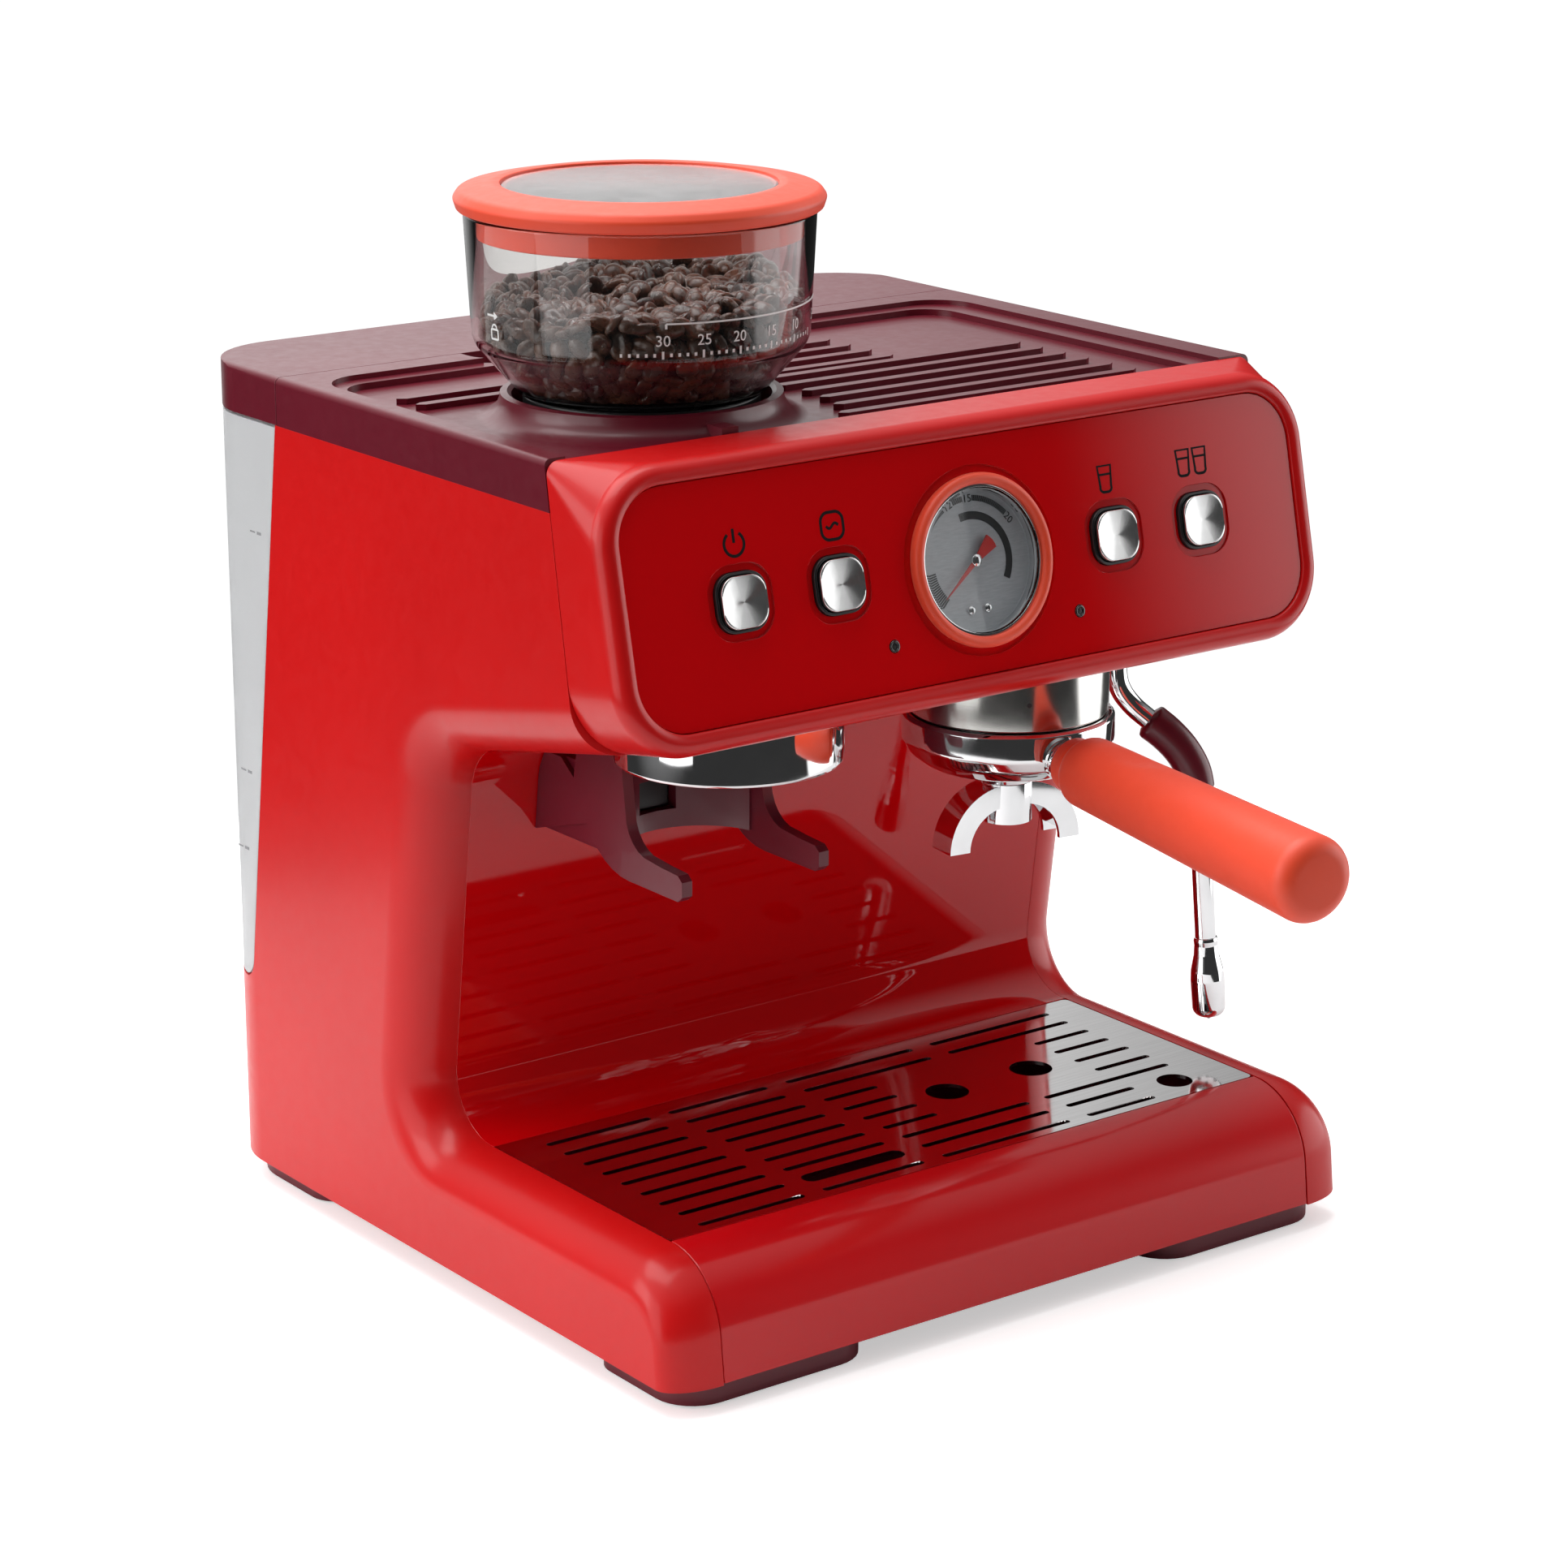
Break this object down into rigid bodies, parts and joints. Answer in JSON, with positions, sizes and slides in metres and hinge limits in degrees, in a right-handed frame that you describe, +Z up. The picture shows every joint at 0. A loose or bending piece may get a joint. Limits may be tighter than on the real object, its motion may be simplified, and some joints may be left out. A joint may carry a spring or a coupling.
{
  "type": "espresso machine",
  "caption": "Home espresso machine with a built-in grinder and bean hopper, pressure gauge, portafilter, steam wand, lift-out rear tank and pull-out drip tray.",
  "frame": {"origin": "centre of the whole machine's footprint box, at the level the feet stand on", "axes": "+Z up, -Y towards the user (control panel and portafilter handle), +X to the user's right; the handle makes Y the longest extent"},
  "size_m": [0.331, 0.4253, 0.4014],
  "materials": {
    "red_shell": "satin red lacquer on moulded panels",
    "gloss_red": "high-gloss dark red",
    "maroon": "satin maroon",
    "coral": "soft-touch coral",
    "chrome": "polished",
    "brushed": "fine turned grain",
    "mirror_steel": "polished sheet",
    "sheet_steel": "plain zinc-grey",
    "burr_steel": "ground",
    "cast_alloy": "cast",
    "black_plastic": "fine grain",
    "black_rubber": "matte",
    "white_plastic": "low-friction",
    "smoked_clear": "clear, lightly smoked",
    "clear_glass": "clear",
    "frosted_clear": "frosted translucent",
    "beans": "roasted, oily",
    "dial": "grey dial face in a steel can",
    "needle": "red",
    "board": "green solder mask",
    "lamp": "dark lens"
  },
  "bodies": {
    "machine": {"base": "maroon", "foot_pads": "black_rubber", "inner_frame": "sheet_steel", "side_left": "red_shell", "side_right": "red_shell", "splash_panel": "gloss_red", "front_bezel": "red_shell", "control_panel": "gloss_red", "top_cover": "maroon", "rear_bay": "red_shell", "hood_floor": "maroon", "case_screws": "sheet_steel", "grinder_housing": "black_plastic", "grinder_drive": "cast_alloy", "grounds_chute": "black_plastic", "grinder_ring": "chrome", "dosing_fork": "maroon", "group_head": "cast_alloy", "group_collar": "brushed", "group_gasket": "black_rubber", "shower_screen": "mirror_steel", "boiler": "cast_alloy", "pump": "cast_alloy", "switch_board": "board", "power_gland": "black_plastic", "wand_socket": "chrome", "hot_water_spout": "chrome", "button_trims": "black_plastic", "status_leds": "lamp", "gauge_ring": "coral", "gauge_case": "dial", "gauge_glass": "clear_glass"},
    "portafilter": {"portafilter_body": "chrome", "filter_basket": "mirror_steel", "twin_spout": "chrome", "portafilter_handle": "coral"},
    "wand_swivel": {"wand_seat": "white_plastic"},
    "wand": {"wand_tube": "chrome", "wand_grip": "maroon", "wand_tip": "chrome"},
    "power_button": {"button_power": "brushed"},
    "manual_button": {"button_manual": "brushed"},
    "single_button": {"button_single": "brushed"},
    "double_button": {"button_double": "brushed"},
    "needle": {"gauge_needle": "needle"},
    "hopper": {"hopper_jar": "smoked_clear", "hopper_base": "black_plastic", "hopper_beans": "beans", "upper_burr": "burr_steel"},
    "hopper_cap": {"hopper_lid": "coral", "lid_window": "smoked_clear"},
    "burr": {"lower_burr": "burr_steel"},
    "trigger": {"grind_trigger": "black_plastic"},
    "tank": {"water_tank": "frosted_clear"},
    "tank_cap": {"tank_lid": "maroon"},
    "tray": {"drip_tray": "maroon", "tray_front": "gloss_red"},
    "tray_grille": {"grille": "mirror_steel"},
    "knob": {"steam_knob": "black_plastic"}
  },
  "joints": [
    {"name": "portafilter_lock", "type": "hinge", "parent": "machine", "child": "portafilter", "pos_m": [0.046, -0.01635, 0.2], "axis": [0, 0, 1], "range_deg": [-50, 0]},
    {"name": "wand_turn", "type": "hinge", "parent": "machine", "child": "wand_swivel", "pos_m": [0.108, -0.00535, 0.214], "axis": [0, 0, 1], "range_deg": [-50, 45]},
    {"name": "wand_lift", "type": "hinge", "parent": "wand_swivel", "child": "wand", "pos_m": [0.108, -0.00535, 0.214], "axis": [-0.7071, -0.7071, 0], "range_deg": [0, 22]},
    {"name": "power_press", "type": "slide", "parent": "machine", "child": "power_button", "axis": [0, 0.9768, -0.214], "range_m": [0, 0.0015], "stiffness_N_per_m": 1500, "springref_m": -0.001},
    {"name": "manual_press", "type": "slide", "parent": "machine", "child": "manual_button", "axis": [0, 0.9768, -0.214], "range_m": [0, 0.0015], "stiffness_N_per_m": 1500, "springref_m": -0.001},
    {"name": "single_press", "type": "slide", "parent": "machine", "child": "single_button", "axis": [0, 0.9768, -0.214], "range_m": [0, 0.0015], "stiffness_N_per_m": 1500, "springref_m": -0.001},
    {"name": "double_press", "type": "slide", "parent": "machine", "child": "double_button", "axis": [0, 0.9768, -0.214], "range_m": [0, 0.0015], "stiffness_N_per_m": 1500, "springref_m": -0.001},
    {"name": "needle_sweep", "type": "hinge", "parent": "machine", "child": "needle", "pos_m": [-0.008, -0.06475, 0.27358], "axis": [0, 0.9768, -0.214], "range_deg": [0, 270]},
    {"name": "grind_setting", "type": "hinge", "parent": "machine", "child": "hopper", "pos_m": [-0.084, 0.03165, 0.31], "axis": [0, 0, 1], "range_deg": [-52, 27]},
    {"name": "hopper_lid_lift", "type": "slide", "parent": "hopper", "child": "hopper_cap", "axis": [0, 0, 1], "range_m": [0, 0.06]},
    {"name": "burr_spin", "type": "hinge", "parent": "machine", "child": "burr", "pos_m": [-0.084, 0.03165, 0.24], "axis": [0, 0, 1], "continuous": true},
    {"name": "trigger_press", "type": "slide", "parent": "machine", "child": "trigger", "axis": [0, 1, 0], "range_m": [0, 0.003], "stiffness_N_per_m": 600, "springref_m": -0.002},
    {"name": "tank_lift", "type": "slide", "parent": "machine", "child": "tank", "axis": [0, 0, 1], "range_m": [0, 0.23]},
    {"name": "tank_lid_hinge", "type": "hinge", "parent": "tank", "child": "tank_cap", "pos_m": [-0.008, 0.20925, 0.3084], "axis": [-1, 0, 0], "range_deg": [0, 75]},
    {"name": "tray_slide", "type": "slide", "parent": "machine", "child": "tray", "axis": [0, -1, 0], "range_m": [0, 0.2]},
    {"name": "grille_lift", "type": "slide", "parent": "tray", "child": "tray_grille", "axis": [0, 0, 1], "range_m": [0, 0.018]},
    {"name": "steam_valve", "type": "hinge", "parent": "machine", "child": "knob", "pos_m": [0.149, 0.05065, 0.272], "axis": [1, 0, 0], "range_deg": [-80, 80]}
  ]
}
